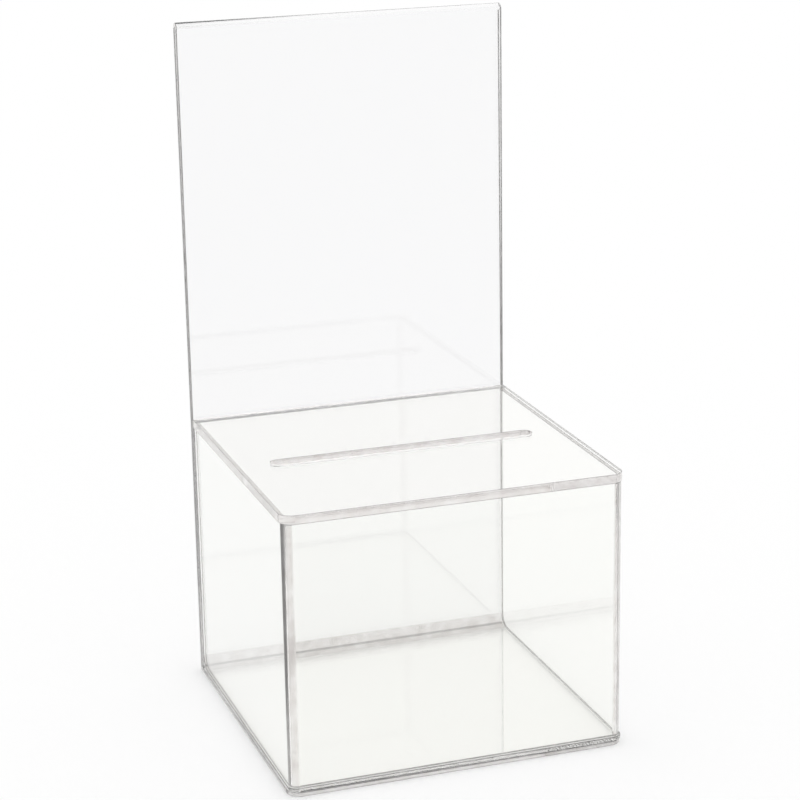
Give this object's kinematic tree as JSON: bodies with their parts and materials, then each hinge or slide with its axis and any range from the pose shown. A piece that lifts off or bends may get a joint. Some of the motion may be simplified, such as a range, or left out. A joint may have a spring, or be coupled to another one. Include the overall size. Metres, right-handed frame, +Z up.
{
  "type": "ballot box",
  "caption": "Clear sheet-plastic ballot box with a slotted lift-off lid and a tall folded sign header standing behind it.",
  "frame": {"origin": "middle of the footprint on the surface the box stands on", "axes": "+Z up, -Y towards the front wall, +X to the right seen from the front"},
  "size_m": [0.2286, 0.2244, 0.459],
  "materials": {
    "clear_sheet": "polished clear",
    "clear_plate": "polished clear"
  },
  "bodies": {
    "box": {"base_plate": "clear_plate", "floor_and_back": "clear_sheet", "front_and_sides": "clear_sheet", "header": "clear_sheet"},
    "lid": {"lid": "clear_plate"}
  },
  "joints": [
    {"name": "lid_lift", "type": "slide", "parent": "box", "child": "lid", "axis": [0, 0, 1], "range_m": [0, 0.29]}
  ]
}
